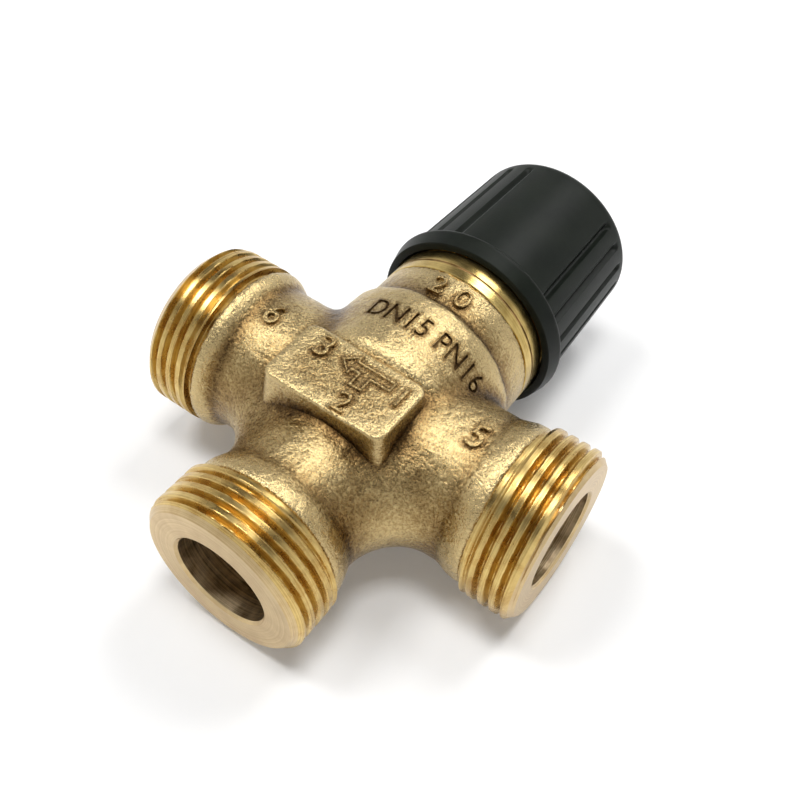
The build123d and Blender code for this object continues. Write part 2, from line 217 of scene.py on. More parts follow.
ports = (
    ("port_a", (1, 0, 0), neck_radius, port_reach),
    ("port_ab", (-1, 0, 0), neck_radius, port_reach),
    ("port_b", (0, -1, 0), neck_b_radius, port_b_reach),
)
shoulders = {
    "port_a": (12.4 * MM, 6.0 * MM),
    "port_ab": (13.1 * MM, 4.2 * MM),
    "port_b": (12.4 * MM, 6.0 * MM),
}
barrel_outline = [
    (0, barrel_start - 3.4 * MM),
    (neck_b_radius, barrel_start - 3.4 * MM),
    (barrel_radius, barrel_start),
    (barrel_radius, barrel_step_at),
    (0, barrel_step_at),
]
collar_outline = [(0, 0), (upper_neck_radius, 0), (upper_neck_radius, neck_top), (0, neck_top)]
soft_forms = [neck_form(direction, radius, reach) for port, direction, radius, reach in ports]
soft_forms += [
    turned("barrel", barrel_outline, (0, 1, 0)),
    block("pad", pad_centre, pad_size - Vector((2, 2, 1.2)) * MM, pad_corner, 0.16),
    crotch_form(1),
    crotch_form(-1),
]
casting = cast_together(joined("body_casting", soft_forms), soft_voxel, 9)
crisp_forms = [shoulder_form(direction, radius, reach, *shoulders[port])
               for port, direction, radius, reach in ports]
crisp_forms += [
    casting,
    turned("collar", collar_outline, (0, 1, 0)),
]
casting = cast_together(joined("body_casting", crisp_forms), skin_voxel, 4)
pad = cast_together(block("pad", pad_centre, pad_size, pad_corner, 0.05), pad_voxel, 1)


# The cores
# The passages that sand cores and the boring bar leave: three bores, the chamber between the
# seats, and the two cast ways into it. They are cut out of the casting as closed forms.
bore_radius = 7.4 * MM
bore_depth = 15.5 * MM
seat_radius = 5.0 * MM
chamber_radius = 8.0 * MM
seat_ring_radius = 8.8 * MM
neck_bore_radius = 11.0 * MM
lower_seat = (-9.0 * MM, -6.0 * MM)
seat_ring = (4.0 * MM, 7.0 * MM)
stem_core = [
    (0, -port_b_reach - MM),
    (bore_radius + 0.15 * MM, -port_b_reach - MM),
    (bore_radius + 0.15 * MM, -port_b_reach + thread_length),
    (bore_radius, -port_b_reach + thread_length + 0.3 * MM),
    (bore_radius, lower_seat[0]),
    (seat_radius, lower_seat[0]),
    (seat_radius, lower_seat[1]),
    (chamber_radius, lower_seat[1]),
    (chamber_radius, seat_ring[0]),
    (seat_ring_radius, seat_ring[0]),
    (seat_ring_radius, seat_ring[1]),
    (neck_bore_radius, seat_ring[1]),
    (neck_bore_radius, neck_top + MM),
    (0, neck_top + MM),
]
port_core = [
    (0, port_reach - bore_depth),
    (bore_radius, port_reach - bore_depth),
    (bore_radius, port_reach - thread_length - 0.3 * MM),
    (bore_radius + 0.15 * MM, port_reach - thread_length),
    (bore_radius + 0.15 * MM, port_reach + MM),
    (0, port_reach + MM),
]


def slot_core(name, width, height, start, end):
    """A cast way between two points: a long hole, wide across the body."""
    climb = Vector(end) - Vector(start)
    reach = width / 2 - height / 2
    outline = []
    for side in (1, -1):
        for step in range(13):
            angle = math.radians(15 * step) + (0 if side > 0 else math.pi)
            outline.append((height / 2 * math.cos(angle), side * reach + height / 2 * math.sin(angle)))
    count = len(outline)
    vertices = [(x, y, 0) for x, y in outline] + [(x, y, climb.length) for x, y in outline]
    faces = [list(range(count - 1, -1, -1)), list(range(count, 2 * count))]
    for step in range(count):
        after = (step + 1) % count
        faces.append([step, after, after + count, step + count])
    forward = climb.normalized()
    across = Vector((0, 0, 1))
    side = across.cross(forward)
    turn = Matrix((side, across, forward)).transposed().to_4x4()
    return place_mesh(name, vertices, faces, Matrix.Translation(Vector(start)) @ turn)


cores = [
    turned("core", stem_core, (0, 1, 0)),
    turned("core", port_core, (1, 0, 0)),
    turned("core", port_core, (-1, 0, 0)),
    slot_core("core", 13 * MM, 7.6 * MM, (-18 * MM, -1 * MM, 0), (-4 * MM, -1 * MM, 0)),
    slot_core("core", 13 * MM, 7 * MM, (18 * MM, 1.5 * MM, 0), (8 * MM, 11.8 * MM, 0)),
]


def combine(piece, tool, operation):
    """Joins one closed form to another or cuts it out. The tool's walls keep its own material."""
    cut = piece.modifiers.new("cut", "BOOLEAN")
    cut.operation = operation
    cut.solver = "EXACT"
    cut.material_mode = "TRANSFER"
    cut.object = tool
    made_plain(piece)
    bpy.data.objects.remove(tool)


def maths(tree, operation, *values):
    """One maths node: each value is a number or the socket that it comes from."""
    node = tree.nodes.new("ShaderNodeMath")
    node.operation = operation
    for socket, value in zip(node.inputs, values):
        if isinstance(value, bpy.types.NodeSocket):
            tree.links.new(value, socket)
        else:
            socket.default_value = value
    return node.outputs[0]


def new_material(name):
    """A material with its shader and its place on the object in millimetres."""
    material = bpy.data.materials.new(name)
    material.use_nodes = True
    tree = material.node_tree
    place = tree.nodes.new("ShaderNodeTexCoord")
    scale = tree.nodes.new("ShaderNodeMapping")
    scale.inputs["Scale"].default_value = (1000, 1000, 1000)
    tree.links.new(place.outputs["Object"], scale.inputs["Vector"])
    return material, tree, tree.nodes["Principled BSDF"], scale.outputs["Vector"]


def grain(tree, place, size, detail=3.0, roughness=0.6):
    """Noise with features of about a size in millimetres."""
    node = tree.nodes.new("ShaderNodeTexNoise")
    node.inputs["Scale"].default_value = 1 / size
    node.inputs["Detail"].default_value = detail
    node.inputs["Roughness"].default_value = roughness
    tree.links.new(place, node.inputs["Vector"])
    return node.outputs["Fac"]


def ramp(tree, value, *stops):
    """Colours along a value from 0 to 1."""
    node = tree.nodes.new("ShaderNodeValToRGB")
    while len(node.color_ramp.elements) < len(stops):
        node.color_ramp.elements.new(0.5)
    for element, (at, colour) in zip(node.color_ramp.elements, stops):
        element.position = at
        element.color = (*colour, 1)
    tree.links.new(value, node.inputs["Fac"])
    return node.outputs["Color"]


def bump(tree, height, depth, under=None):
    """A bump whose height is in millimetres."""
    node = tree.nodes.new("ShaderNodeBump")
    node.inputs["Strength"].default_value = 1
    node.inputs["Distance"].default_value = depth * MM
    tree.links.new(height, node.inputs["Height"])
    if under is not None:
        tree.links.new(under, node.inputs["Normal"])
    return node.outputs["Normal"]


def cast_gunmetal():
    """Sand-cast gunmetal: tan, speckled by the sand's grains, with a dull sheen, and painted shade round the
    marks and in the inner corners.
    """
    material, tree, shader, place = new_material("cast_gunmetal")
    shader.inputs["Metallic"].default_value = 1
    patches = grain(tree, place, 6.0, 3)
    sand = grain(tree, place, 0.42, 2)
    fine = grain(tree, place, 0.19, 2)
    speckle = maths(tree, "ADD", maths(tree, "MULTIPLY", sand, 0.45), maths(tree, "MULTIPLY", fine, 0.30))
    mixed = maths(tree, "ADD", speckle, maths(tree, "MULTIPLY", patches, 0.25))
    # Two vertex values darken the colour: painted shade round the raised and stamped marks, and painted shade
    # in the casting's inner corners.
    for name, weight in (("mark_shade", -0.30), ("hollow", -0.42)):
        trace = tree.nodes.new("ShaderNodeAttribute")
        trace.attribute_name = name
        mixed = maths(tree, "MULTIPLY_ADD", trace.outputs["Fac"], weight, mixed)
    colour = ramp(tree, mixed, (0.20, (0.075, 0.041, 0.014)), (0.38, (0.245, 0.156, 0.062)),
                  (0.5, (0.362, 0.255, 0.110)), (0.62, (0.55, 0.416, 0.202)))
    tree.links.new(colour, shader.inputs["Base Color"])
    tree.links.new(maths(tree, "MULTIPLY_ADD", sand, 0.2, 0.17), shader.inputs["Roughness"])
    lumps = bump(tree, grain(tree, place, 1.3, 2), 0.16)
    tree.links.new(bump(tree, speckle, 0.22, lumps), shader.inputs["Normal"])
    return material


def bored_gunmetal():
    """The same metal where the boring bar has been: smoother, and darker all over as painted shade for the
    depth of the passages.
    """
    material, tree, shader, place = new_material("bored_gunmetal")
    shader.inputs["Metallic"].default_value = 1
    shader.inputs["Roughness"].default_value = 0.36
    colour = ramp(tree, grain(tree, place, 2.0), (0.35, (0.20, 0.13, 0.06)), (0.7, (0.42, 0.29, 0.15)))
    tree.links.new(colour, shader.inputs["Base Color"])
    tree.links.new(bump(tree, grain(tree, place, 0.4), 0.05), shader.inputs["Normal"])
    return material


cast_metal = cast_gunmetal()
bored_metal = bored_gunmetal()
casting.data.materials.append(cast_metal)
pad.data.materials.append(cast_metal)
combine(casting, pad, "UNION")
for core in cores:
    core.data.materials.append(bored_metal)
    combine(casting, core, "DIFFERENCE")


# The port threads
# Each port end is turned from the casting and threaded, with the rounded profile of a pipe
# thread, a lead-in chamfer and a flat face for the union's seal. The same tool cuts all three.
crest_radius = 13.2205 * MM
thread_depth = 1.0 * MM
thread_pitch = 1.814 * MM
flank_slope = 3.9
crest_share = 0.85
flank_rounding = 0.12
lead_in = 1.25 * MM
mouth_chamfer = 0.4 * MM
thread_steps = 100


def from_axis(tree, x, y):
    """How far a point lies from the axis that a turned form stands on."""
    return maths(tree, "SQRT", maths(tree, "ADD", maths(tree, "MULTIPLY", x, x), maths(tree, "MULTIPLY", y, y)))


def held(tree, value):
    """A value kept between 0 and 1."""
    return maths(tree, "MINIMUM", maths(tree, "MAXIMUM", value, 0), 1)


def thread_tree():
    """Cuts a right-hand thread into the outside of a form that stands on +Z."""
    tree = bpy.data.node_groups.new("pipe_thread", "GeometryNodeTree")
    sockets = tree.interface
    sockets.new_socket("Geometry", in_out="INPUT", socket_type="NodeSocketGeometry")
    for label, value in (("Crest Radius", crest_radius), ("Depth", thread_depth), ("Pitch", thread_pitch)):
        sockets.new_socket(label, in_out="INPUT", socket_type="NodeSocketFloat").default_value = value
    sockets.new_socket("From", in_out="INPUT", socket_type="NodeSocketFloat")
    sockets.new_socket("Material", in_out="INPUT", socket_type="NodeSocketMaterial")
    sockets.new_socket("Geometry", in_out="OUTPUT", socket_type="NodeSocketGeometry")
    given = tree.nodes.new("NodeGroupInput").outputs
    place = tree.nodes.new("GeometryNodeInputPosition")
    parts = tree.nodes.new("ShaderNodeSeparateXYZ")
    tree.links.new(place.outputs[0], parts.inputs[0])
    x, y, z = parts.outputs
    radius = from_axis(tree, x, y)
    turn = maths(tree, "DIVIDE", maths(tree, "ARCTAN2", y, x), 2 * math.pi)
    phase = maths(tree, "SUBTRACT", maths(tree, "DIVIDE", z, given["Pitch"]), turn)
    wave = maths(tree, "ABSOLUTE", maths(tree, "SUBTRACT", maths(tree, "FRACT", phase), 0.5))
    slope = maths(tree, "MULTIPLY_ADD", wave, flank_slope, -crest_share)
    profile = maths(tree, "SMOOTH_MIN", maths(tree, "SMOOTH_MAX", slope, 0, flank_rounding), 1, flank_rounding)
    runout = held(tree, maths(tree, "DIVIDE", maths(tree, "SUBTRACT", z, given["From"]), given["Pitch"]))
    cut = maths(tree, "MULTIPLY", maths(tree, "MULTIPLY", profile, given["Depth"]), runout)
    threaded = maths(tree, "MINIMUM", radius, maths(tree, "SUBTRACT", given["Crest Radius"], cut))
    outside = maths(tree, "GREATER_THAN", radius, maths(tree, "MULTIPLY", given["Crest Radius"], 0.88))
    outside = maths(tree, "MULTIPLY", outside, maths(tree, "GREATER_THAN", z, given["From"]))
    factor = maths(tree, "DIVIDE", threaded, radius)
    moved = tree.nodes.new("ShaderNodeCombineXYZ")
    tree.links.new(maths(tree, "MULTIPLY", x, factor), moved.inputs[0])
    tree.links.new(maths(tree, "MULTIPLY", y, factor), moved.inputs[1])
    tree.links.new(z, moved.inputs[2])
    shift = tree.nodes.new("GeometryNodeSetPosition")
    tree.links.new(given["Geometry"], shift.inputs["Geometry"])
    tree.links.new(outside, shift.inputs["Selection"])
    tree.links.new(moved.outputs[0], shift.inputs["Position"])
    finish(tree, shift.outputs[0], given["Material"])
    return tree


def finish(tree, geometry, material):
    """Ends a tree: real geometry, with its material set."""
    real = tree.nodes.new("GeometryNodeRealizeInstances")
    coat = tree.nodes.new("GeometryNodeSetMaterial")
    done = tree.nodes.new("NodeGroupOutput")
    tree.links.new(geometry, real.inputs[0])
    tree.links.new(real.outputs[0], coat.inputs[0])
    tree.links.new(material, coat.inputs["Material"])
    tree.links.new(coat.outputs[0], done.inputs[0])


def with_tree(piece, tree, **values):
    """Runs a tree on a piece with its inputs set by name, and leaves a plain mesh."""
    modifier = piece.modifiers.new(tree.name, "NODES")
    modifier.node_group = tree
    for item in tree.interface.items_tree:
        if item.in_out == "INPUT" and item.name.replace(" ", "_") in values:
            modifier[item.identifier] = values[item.name.replace(" ", "_")]
    return made_plain(piece)


def turned_brass(name, axis, colours, roughness, marks=0.006):
    """Freshly turned metal: tool marks run round the axis, across faces and along walls."""
    material, tree, shader, place = new_material(name)
    shader.inputs["Metallic"].default_value = 1
    parts = tree.nodes.new("ShaderNodeSeparateXYZ")
    tree.links.new(place, parts.inputs[0])
    near = [part for letter, part in zip("XYZ", parts.outputs) if letter != axis]
    height = parts.outputs["XYZ".index(axis)]
    radius = from_axis(tree, near[0], near[1])
    line = tree.nodes.new("ShaderNodeTexNoise")
    line.noise_dimensions = "1D"
    line.inputs["Scale"].default_value = 4.0
    line.inputs["Detail"].default_value = 4
    tree.links.new(maths(tree, "ADD", height, radius), line.inputs["W"])
    haze = grain(tree, place, 2.5, 3)
    mixed = maths(tree, "MULTIPLY", maths(tree, "ADD", haze, line.outputs["Fac"]), 0.5)
    tree.links.new(ramp(tree, mixed, (0.38, colours[0]), (0.62, colours[1])), shader.inputs["Base Color"])
    tree.links.new(maths(tree, "MULTIPLY_ADD", haze, 0.16, roughness - 0.08), shader.inputs["Roughness"])
    tree.links.new(bump(tree, line.outputs["Fac"], marks), shader.inputs["Normal"])
    return material


thread_colours = ((0.44, 0.268, 0.08), (0.69, 0.515, 0.20))
face_colours = ((0.50, 0.35, 0.17), (0.64, 0.49, 0.27))
bore_colours = ((0.32, 0.23, 0.12), (0.86, 0.69, 0.45))
relief_radius = 12.1 * MM
relief_width = 0.75 * MM
pipe_thread = thread_tree()
for port, direction, radius, reach in ports:
    back = reach - thread_length
    start = back + relief_width
    crest = [(crest_radius, start + (reach - lead_in - start) * step / thread_steps)
             for step in range(thread_steps + 1)]
    chamfer = [(crest_radius - lead_in * step / 14, reach - lead_in + lead_in * step / 14)
               for step in range(1, 15)]
    outline = [(bore_radius, back - 0.3 * MM), (relief_radius, back - 0.3 * MM),
               (relief_radius, start - 0.2 * MM), (relief_radius + 0.12 * MM, start - 0.06 * MM),
               *crest, *chamfer,
               (bore_radius + mouth_chamfer, reach), (bore_radius, reach - mouth_chamfer)]
    end = turned(port + "_thread", outline, (0, 0, 1), 192, ring=True)
    axis = "X" if direction[0] else "Y"
    brass = turned_brass(port + "_brass", axis, thread_colours, 0.28)
    with_tree(end, pipe_thread, From=start - 0.4 * MM, Material=brass)
    end.data.materials.append(turned_brass(port + "_face", axis, face_colours, 0.34, 0.012))
    end.data.materials.append(turned_brass(port + "_bore", axis, bore_colours, 0.36, 0.04))
    for face in end.data.polygons:
        spread = math.hypot(face.center.x, face.center.y)
        if spread < bore_radius + 0.05 * MM:
            face.material_index = 2
        elif face.center.z > reach - lead_in * 0.55:
            face.material_index = 1
    end.data.transform(along(direction))
    end.data.shade_smooth()
    end.data.set_sharp_from_angle(angle=math.radians(40))
    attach(end, "valve")
    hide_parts("valve_body")


# The cast marks
# A flow symbol with plain port numbers and plain numbers stand up from the pad and the necks,
# cast with the body. A nominal size and pressure rating are stamped into the barrel.
mark_height = 0.5 * MM
mark_voxel = 0.12 * MM
symbol_line = 0.62 * MM
pad_top = pad_size.z


def cast_from(curve, squeeze=1.0):
    """A drawn curve as closed soft forms, with its width squeezed where it has to fit."""
    drawn = bpy.data.objects.new("mark", curve)
    bpy.context.scene.collection.objects.link(drawn)
    depsgraph = bpy.context.evaluated_depsgraph_get()
    mesh = bpy.data.meshes.new_from_object(drawn.evaluated_get(depsgraph))
    bpy.data.objects.remove(drawn)
    mesh.transform(Matrix.Diagonal((squeeze, 1, 1, 1)))
    mark = bpy.data.objects.new("mark", mesh)
    bpy.context.scene.collection.objects.link(mark)
    return cast_together(mark, mark_voxel, 2)


def words_mesh(words, size, bold, height, squeeze=1.0):
    """Words centred on the origin, from -height to height in Z."""
    curve = bpy.data.curves.new("mark", "FONT")
    curve.body = words
    curve.size = size
    curve.align_x = "CENTER"
    curve.align_y = "CENTER"
    curve.extrude = height
    curve.offset = bold * size
    curve.space_character = 1.05
    return cast_from(curve, squeeze)


def ridge(points, width):
    """A raised line through points in a plane, closed into a loop."""
    curve = bpy.data.curves.new("mark", "CURVE")
    curve.dimensions = "3D"
    curve.bevel_depth = width / 2
    curve.bevel_resolution = 3
    line = curve.splines.new("POLY")
    line.points.add(len(points) - 1)
    for point, (x, y) in zip(line.points, points):
        point.co = (x, y, 0, 1)
    line.use_cyclic_u = True
    return cast_from(curve)


def on_pad(mark, x, y):
    """Sets a mark on the pad."""
    mark.data.transform(Matrix.Translation((x, y, pad_top)))
    return mark


def round_neck(mark, radius, axis, at, lean):
    """Bends a mark round a neck, at a place along its axis and an angle from the top."""
    for vertex in mark.data.vertices:
        x, y, z = vertex.co
        if axis == "Y":
            angle = math.radians(lean) + x / radius
            spot = ((radius + z) * math.sin(angle), at + y, (radius + z) * math.cos(angle))
        else:
            angle = math.radians(lean) + y / radius
            spot = (at + x, (radius + z) * math.sin(angle), (radius + z) * math.cos(angle))
        vertex.co = spot
    return mark


def flow_symbol():
    """A T-shaped arrow: flow from two ports joins and leaves by the third."""
    arm, head, stalk = 0.75 * MM, 1.7 * MM, 2.3 * MM
    left, right = -4.2 * MM, 4.0 * MM
    return ridge([(left, 0), (left + 1.9 * MM, head), (left + 1.9 * MM, arm), (right, arm), (right, -arm),
                  (0.9 * MM, -arm), (0.9 * MM, -arm - stalk), (-0.9 * MM, -arm - stalk), (-0.9 * MM, -arm),
                  (left + 1.9 * MM, -arm), (left + 1.9 * MM, -head)], symbol_line)


raised = [
    on_pad(flow_symbol(), 0.9 * MM, -2.6 * MM),
    on_pad(words_mesh("3", 5.6 * MM, 0.0, mark_height), -6.6 * MM, -2.7 * MM),
    on_pad(words_mesh("1", 5.6 * MM, 0.0, mark_height), 6.9 * MM, -3.4 * MM),
    on_pad(words_mesh("2", 5.0 * MM, 0.0, mark_height), 1.2 * MM, -8.95 * MM),
    round_neck(words_mesh("6", 5.4 * MM, 0.01, mark_height), neck_radius, "X", -17.6 * MM, -2),
    round_neck(words_mesh("5", 5.6 * MM, 0.01, mark_height), neck_radius, "X", 17.4 * MM, -3),
    round_neck(words_mesh("2 0", 5.2 * MM, 0.0, mark_height), upper_neck_radius, "Y", 17.4 * MM, 3),
]
rating = words_mesh("DN15 PN16", 5.0 * MM, 0.0, mark_height, 0.80)
stamped = [round_neck(rating, barrel_radius, "Y", 8.4 * MM, 13)]
cast_marks = joined("cast_marks", raised)
stamps = joined("stamps", stamped)


# The cast skin
# The sand leaves its grain all over the casting. Painted shade lies in the stamps' floors, round the marks and
# in the inner corners.
def stamp_shade_metal():
    """The floor of a stamp: the casting's metal, dark as painted shade in the stamp."""
    material, tree, shader, place = new_material("soiled_gunmetal")
    shader.inputs["Metallic"].default_value = 1
    shader.inputs["Roughness"].default_value = 0.5
    colour = ramp(tree, grain(tree, place, 0.5), (0.35, (0.07, 0.038, 0.014)), (0.7, (0.20, 0.125, 0.05)))
    tree.links.new(colour, shader.inputs["Base Color"])
    tree.links.new(bump(tree, grain(tree, place, 0.4), 0.1), shader.inputs["Normal"])
    return material


def mark_shade_near(spots, point, reach):
    """How much painted shade lies at a point: 1 at a mark, 0 at a distance from it."""
    distance = spots.find(point)[2]
    return max(0.0, 1 - distance / reach) if distance is not None else 0.0


def hollow_shade(piece):
    """How hollow a piece is at each vertex: near 1 in its inner corners, below 0 on its edges. The casting's
    colour takes it as painted shade in the corners, and is a little lighter on the edges.
    """
    count = len(piece.data.vertices)
    before, after, normals = np.empty(count * 3), np.empty(count * 3), np.empty(count * 3)
    piece.data.vertices.foreach_get("co", before)
    piece.data.vertex_normals.foreach_get("vector", normals)
    melted = bpy.data.objects.new("melted", piece.data.copy())
    bpy.context.scene.collection.objects.link(melted)
    soften = melted.modifiers.new("soften", "SMOOTH")
    soften.factor = 0.5
    soften.iterations = 200
    made_plain(melted)
    melted.data.vertices.foreach_get("co", after)
    bpy.data.objects.remove(melted)
    rise = ((after - before) * normals).reshape(count, 3).sum(axis=1)
    return np.clip(rise / hollow_depth, -0.5, 1)


skin_depth = 0.045 * MM
hollow_depth = 0.45 * MM
mark_shade_reach = 0.75 * MM
mark_points = [vertex.co.copy() for piece in (cast_marks, stamps) for vertex in piece.data.vertices]
spots = KDTree(len(mark_points))
for number, point in enumerate(mark_points):
    spots.insert(point, number)
spots.balance()
stamps.data.materials.append(stamp_shade_metal())
combine(casting, stamps, "DIFFERENCE")
shape = bmesh.new()
shape.from_mesh(casting.data)
shape.normal_update()
for vertex in shape.verts:
    if all(face.material_index == 0 for face in vertex.link_faces):
        lump = noise.noise(vertex.co * 700) + 0.6 * noise.noise(vertex.co * 1500)
        vertex.co += vertex.normal * lump * skin_depth
shape.to_mesh(casting.data)
shape.free()
# Painted shade round the raised and stamped marks, strongest next to them.
mark_shade = casting.data.attributes.new("mark_shade", "FLOAT", "POINT")
mark_shade.data.foreach_set("value", [mark_shade_near(spots, vertex.co, mark_shade_reach) for vertex in casting.data.vertices])
# Painted shade in the casting's inner corners, from how hollow it is at each vertex.
hollow = casting.data.attributes.new("hollow", "FLOAT", "POINT")
hollow.data.foreach_set("value", hollow_shade(casting))
casting.data.shade_smooth()
casting.data.set_sharp_from_angle(angle=math.radians(50))
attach(casting, "valve")
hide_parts("valve_body")
cast_marks.data.materials.append(cast_metal)
cast_marks.data.shade_smooth()
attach(cast_marks, "valve")
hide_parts("valve_body")


# The bonnet
# Turned brass, screwed into the neck. Its collar shows as a golden ring under the knob, and the
# knob's fine thread is on its outside above that.
bonnet_low, bonnet_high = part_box("bonnet")
groove_at = neck_top + 1.7 * MM
collar_top = neck_top + 4.8 * MM
knob_thread_radius = 13.5 * MM
boss_radius = 7.6 * MM
boss_top = bonnet_high.y
thread_top = 34 * MM
gland_radius = 4.05 * MM
bonnet_outline = [
    (gland_radius, bonnet_low.y),
    (neck_bore_radius - 0.02 * MM, bonnet_low.y),
    (neck_bore_radius - 0.02 * MM, neck_top),
    (upper_neck_radius - 0.15 * MM, neck_top),
    (upper_neck_radius, neck_top + 0.15 * MM),
    (upper_neck_radius, groove_at),
    (upper_neck_radius - 0.35 * MM, groove_at + 0.04 * MM),
    (upper_neck_radius - 0.35 * MM, groove_at + 0.36 * MM),
    (upper_neck_radius, groove_at + 0.4 * MM),
    (upper_neck_radius, collar_top - 0.4 * MM),
    (upper_neck_radius - 0.4 * MM, collar_top),
    (knob_thread_radius - 0.6 * MM, collar_top),
    (knob_thread_radius - 0.6 * MM, collar_top + 0.5 * MM),
]
thread_rows = 100
for row in range(thread_rows + 1):
    height = collar_top + 0.7 * MM + (thread_top - collar_top - MM) * row / thread_rows
    bonnet_outline.append((knob_thread_radius, height))
bonnet_outline += [
    (knob_thread_radius - 0.5 * MM, thread_top),
    (boss_radius, thread_top),
    (boss_radius, boss_top - 0.3 * MM),
    (boss_radius - 0.3 * MM, boss_top),
    (gland_radius, boss_top),
]
bonnet = turned("bonnet_turned", bonnet_outline, (0, 0, 1), 192, ring=True)
collar_colours = ((0.40, 0.27, 0.08), (0.72, 0.54, 0.20))
bonnet_brass = turned_brass("bonnet_brass", "Y", collar_colours, 0.24)
with_tree(bonnet, pipe_thread, From=collar_top + 0.2 * MM, Material=bonnet_brass,
          Crest_Radius=knob_thread_radius, Depth=0.5 * MM, Pitch=1.5 * MM)
bonnet.data.materials.append(turned_brass("groove_brass", "Y", bore_colours, 0.5))
for face in bonnet.data.polygons:
    spread = math.hypot(face.center.x, face.center.y)
    if groove_at < face.center.z < groove_at + 0.4 * MM and spread > knob_thread_radius:
        face.material_index = 1
bonnet.data.transform(along((0, 1, 0)))
bonnet.data.shade_smooth()
bonnet.data.set_sharp_from_angle(angle=math.radians(30))
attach(bonnet, "valve")
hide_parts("bonnet")


# The hand knob
# Moulded black plastic: a rimmed skirt that tapers to a round-edged end, with three groups of
# grip grooves. It screws on the bonnet and pushes the stem.
knob_low, knob_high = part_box("adjusting_knob")
knob_mouth = knob_low.y
knob_end = knob_high.y
rim_radius = knob_high.x
mouth_radius = 15.35 * MM
base_radius = 15.15 * MM
end_radius = 14.35 * MM
rim_top = knob_mouth + 2.4 * MM
skirt_start = rim_top + MM
edge_radius = 1.5 * MM
skirt_rows = 70
knob_outline = [
    (0, knob_end - 0.4 * MM),
    (10.2 * MM, knob_end - 0.4 * MM),
    (10.6 * MM, knob_end),
    (end_radius - edge_radius, knob_end),
]
for step in range(1, 9):
    angle = math.radians(90 - 90 * step / 9)
    knob_outline.append((end_radius - edge_radius + edge_radius * math.cos(angle),
                         knob_end - edge_radius + edge_radius * math.sin(angle)))
for row in range(skirt_rows + 1):
    share = row / skirt_rows
    height = knob_end - edge_radius - (knob_end - edge_radius - skirt_start) * share
    knob_outline.append((end_radius + (base_radius - end_radius) * share, height))
knob_outline += [
    (base_radius + 0.15 * MM, skirt_start - 0.2 * MM),
    (rim_radius - 0.25 * MM, rim_top + 0.6 * MM),
    (rim_radius - 0.05 * MM, rim_top + 0.4 * MM),
    (rim_radius, rim_top + 0.2 * MM),
    (rim_radius, rim_top),
    (rim_radius - 0.06 * MM, rim_top - 0.25 * MM),
    (mouth_radius + 0.05 * MM, knob_mouth + 0.1 * MM),
    (mouth_radius - 0.1 * MM, knob_mouth),
    (14.25 * MM, knob_mouth),
    (14.2 * MM, knob_mouth + 4.5 * MM),
    (13.6 * MM, knob_mouth + 5 * MM),
    (13.6 * MM, 42 * MM),
    (12.4 * MM, 43.5 * MM),
    (12.4 * MM, 49.7 * MM),
    (5.2 * MM, 49.7 * MM),
    (5.2 * MM, 49.05 * MM),
    (4.02 * MM, 49.05 * MM),
    (4.02 * MM, 49.7 * MM),
    (0, 49.7 * MM),
]
knob_outline.reverse()


def grip_tree():
    """Presses groups of round grooves into the skirt of a knob that stands on +Z."""
    tree = bpy.data.node_groups.new("grip_grooves", "GeometryNodeTree")
    sockets = tree.interface
    sockets.new_socket("Geometry", in_out="INPUT", socket_type="NodeSocketGeometry")
    for label, value in (("First Group", 0.0), ("Second Group", 120.0), ("Third Group", 240.0),
                         ("Spacing", 15.6), ("Half Width", 2.6), ("Depth", 0.85 * MM),
                         ("Start", 0.0), ("End", 0.05), ("Skirt Radius", 0.014)):
        sockets.new_socket(label, in_out="INPUT", socket_type="NodeSocketFloat").default_value = value
    sockets.new_socket("Material", in_out="INPUT", socket_type="NodeSocketMaterial")
    sockets.new_socket("Geometry", in_out="OUTPUT", socket_type="NodeSocketGeometry")
    given = tree.nodes.new("NodeGroupInput").outputs
    place = tree.nodes.new("GeometryNodeInputPosition")
    parts = tree.nodes.new("ShaderNodeSeparateXYZ")
    tree.links.new(place.outputs[0], parts.inputs[0])
    x, y, z = parts.outputs
    radius = from_axis(tree, x, y)
    angle = maths(tree, "DEGREES", maths(tree, "ARCTAN2", y, x))
    nearest = 360
    for group in ("First Group", "Second Group", "Third Group"):
        turn = maths(tree, "DIVIDE", maths(tree, "SUBTRACT", angle, given[group]), 360)
        turn = maths(tree, "SUBTRACT", maths(tree, "FRACT", maths(tree, "ADD", turn, 2.5)), 0.5)
        side = maths(tree, "ABSOLUTE", maths(tree, "MULTIPLY", turn, 360))
        for step in (-0.5, -1.5):
            away = maths(tree, "ABSOLUTE", maths(tree, "MULTIPLY_ADD", given["Spacing"], step, side))
            nearest = maths(tree, "MINIMUM", nearest, away)
    share = maths(tree, "MINIMUM", maths(tree, "DIVIDE", nearest, given["Half Width"]), 1)
    hollow = maths(tree, "SUBTRACT", 1, maths(tree, "MULTIPLY", share, share))
    up = held(tree, maths(tree, "DIVIDE", maths(tree, "SUBTRACT", z, given["Start"]), 0.5 * MM))
    down = held(tree, maths(tree, "DIVIDE", maths(tree, "SUBTRACT", given["End"], z), 0.9 * MM))
    depth = maths(tree, "MULTIPLY", hollow, given["Depth"])
    depth = maths(tree, "MULTIPLY", depth, maths(tree, "MULTIPLY", up, down))
    factor = maths(tree, "DIVIDE", maths(tree, "SUBTRACT", radius, depth), radius)
    moved = tree.nodes.new("ShaderNodeCombineXYZ")
    tree.links.new(maths(tree, "MULTIPLY", x, factor), moved.inputs[0])
    tree.links.new(maths(tree, "MULTIPLY", y, factor), moved.inputs[1])
    tree.links.new(z, moved.inputs[2])
    shift = tree.nodes.new("GeometryNodeSetPosition")
    tree.links.new(given["Geometry"], shift.inputs["Geometry"])
    tree.links.new(maths(tree, "GREATER_THAN", radius, given["Skirt Radius"]), shift.inputs["Selection"])
    tree.links.new(moved.outputs[0], shift.inputs["Position"])
    finish(tree, shift.outputs[0], given["Material"])
    return tree


